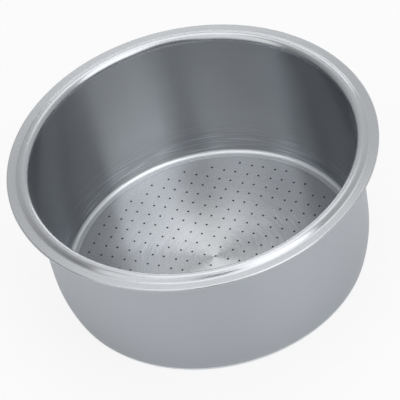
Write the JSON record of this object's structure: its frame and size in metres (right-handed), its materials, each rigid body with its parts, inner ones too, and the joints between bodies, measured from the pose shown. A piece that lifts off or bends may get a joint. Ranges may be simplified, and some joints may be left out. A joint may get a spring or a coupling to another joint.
{
  "type": "espresso filter basket",
  "caption": "Round drawn-sheet filter basket with a flat perforated floor, a leaning wall, a rounded mouth bead and a flat flange.",
  "frame": {"origin": "centre of the floor's underside, on the basket's axis", "axes": "+Z along the axis out of the mouth; X and Y along the columns and rows of holes"},
  "size_m": [0.06, 0.06, 0.0251],
  "materials": {
    "stainless": "satin brushed stainless steel, turned marks round the axis"
  },
  "bodies": {
    "root": {"filter_basket": "stainless"}
  },
  "joints": []
}
